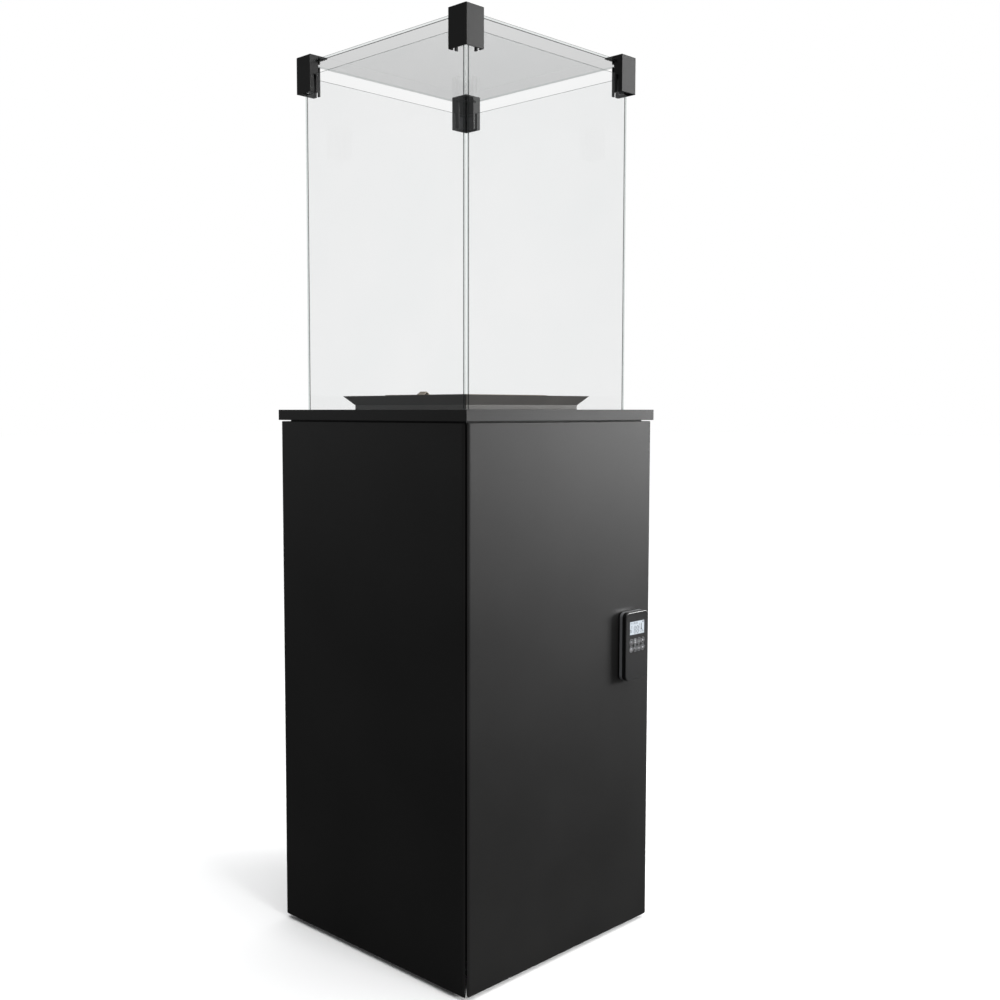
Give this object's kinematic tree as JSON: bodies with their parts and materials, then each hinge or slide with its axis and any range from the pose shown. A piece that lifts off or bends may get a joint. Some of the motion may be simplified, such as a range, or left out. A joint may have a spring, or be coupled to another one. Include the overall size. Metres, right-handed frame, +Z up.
{
  "type": "outdoor gas heater",
  "caption": "Free-standing square gas patio heater: black steel cabinet with door, burner tray, glass column and roof on corner caps, remote control on a side panel.",
  "frame": {"origin": "on the floor, under the middle of the column", "axes": "+Z up, the door faces -Y, the remote control is on the +X side"},
  "size_m": [0.4813, 0.4656, 1.515],
  "materials": {
    "powder_black": "fine textured black powder coat",
    "galvanised": "zinc-coated sheet",
    "clear_glass": "polished toughened glass",
    "stainless": "heat-tinted stainless steel",
    "enamel_black": "heat-resistant matt black",
    "brass": "machined brass",
    "cylinder_paint": "grey gloss paint",
    "black_rubber": "matt black rubber",
    "silicone": "black silicone",
    "die_cast": "cast aluminium",
    "black_plastic": "fine moulded black plastic",
    "ceramic_white": "white insulator",
    "remote_gloss": "piano-black gloss",
    "remote_silver": "satin silver",
    "lcd": "pale grey display",
    "circuit_green": "solder-resist green",
    "cell_wrap": "printed cell wrap",
    "magnet": "nickel-plated magnet"
  },
  "bodies": {
    "column": {"base_plate": "galvanised", "rubber_feet": "black_rubber", "corner_posts": "powder_black", "top_frame": "powder_black", "right_panel": "powder_black", "rear_panel": "powder_black", "left_panel": "powder_black", "hinge_brackets": "galvanised", "hinge_pins": "stainless", "door_magnets": "magnet", "panel_screws": "stainless", "top_plate": "powder_black", "top_plate_screws": "stainless", "glass_gasket": "silicone", "glass_front": "clear_glass", "glass_right": "clear_glass", "glass_rear": "clear_glass", "glass_left": "clear_glass", "glass_roof": "clear_glass", "corner_bracket_front_left": "powder_black", "corner_bracket_front_right": "powder_black", "corner_bracket_rear_left": "powder_black", "corner_bracket_rear_right": "powder_black", "bracket_pads": "silicone", "burner_tray": "enamel_black", "burner_box": "stainless", "burner_plate": "stainless", "burner_housing": "galvanised", "mixer_tube": "stainless", "injector": "brass", "pilot_hood": "stainless", "spark_electrode": "ceramic_white", "thermocouple": "stainless", "cylinder_shell": "cylinder_paint", "cylinder_collar": "cylinder_paint", "cylinder_valve": "brass", "regulator": "die_cast", "regulator_nut": "brass", "gas_hose": "black_rubber", "hose_fittings": "brass", "valve_bracket": "galvanised", "gas_valve": "die_cast", "supply_tube": "die_cast", "pilot_tube": "die_cast", "receiver_box": "black_plastic", "receiver_batteries": "cell_wrap", "remote_holder": "black_plastic"},
    "door": {"door_panel": "powder_black", "door_strikes": "galvanised"},
    "handwheel": {"valve_handwheel": "black_plastic"},
    "manual_knob": {"manual_knob": "black_plastic"},
    "flame_knob": {"flame_knob": "black_plastic"},
    "rocker": {"rocker_switch": "black_plastic"},
    "receiver_lid": {"receiver_lid": "black_plastic"},
    "remote": {"remote_front": "remote_gloss", "remote_back": "remote_silver", "remote_display": "lcd", "remote_board": "circuit_green", "remote_batteries": "cell_wrap"},
    "battery_cover": {"remote_battery_cover": "remote_silver"}
  },
  "joints": [
    {"name": "door_hinge", "type": "hinge", "parent": "column", "child": "door", "pos_m": [-0.2215, -0.2215, 0.457], "axis": [0, 0, -1], "range_deg": [0, 100]},
    {"name": "cylinder_valve_turn", "type": "hinge", "parent": "column", "child": "handwheel", "pos_m": [0, 0, 0.593], "axis": [0, 0, 1], "range_deg": [0, 540]},
    {"name": "manual_knob_turn", "type": "hinge", "parent": "column", "child": "manual_knob", "pos_m": [0.035, -0.199, 0.725], "axis": [0, -1, 0], "range_deg": [0, 90]},
    {"name": "flame_knob_turn", "type": "hinge", "parent": "column", "child": "flame_knob", "pos_m": [0.085, -0.199, 0.725], "axis": [0, -1, 0], "range_deg": [0, 270]},
    {"name": "rocker_tilt", "type": "hinge", "parent": "column", "child": "rocker", "pos_m": [-0.09, -0.209, 0.828], "axis": [-1, 0, 0], "range_deg": [0, 14]},
    {"name": "receiver_lid_slide", "type": "slide", "parent": "column", "child": "receiver_lid", "axis": [0, 0, -1], "range_m": [0, 0.055]},
    {"name": "remote_lift_off", "type": "slide", "parent": "column", "child": "remote", "axis": [1, 0, 0], "range_m": [0, 0.06]},
    {"name": "battery_cover_slide", "type": "slide", "parent": "remote", "child": "battery_cover", "axis": [0, 0, -1], "range_m": [0, 0.055]}
  ]
}
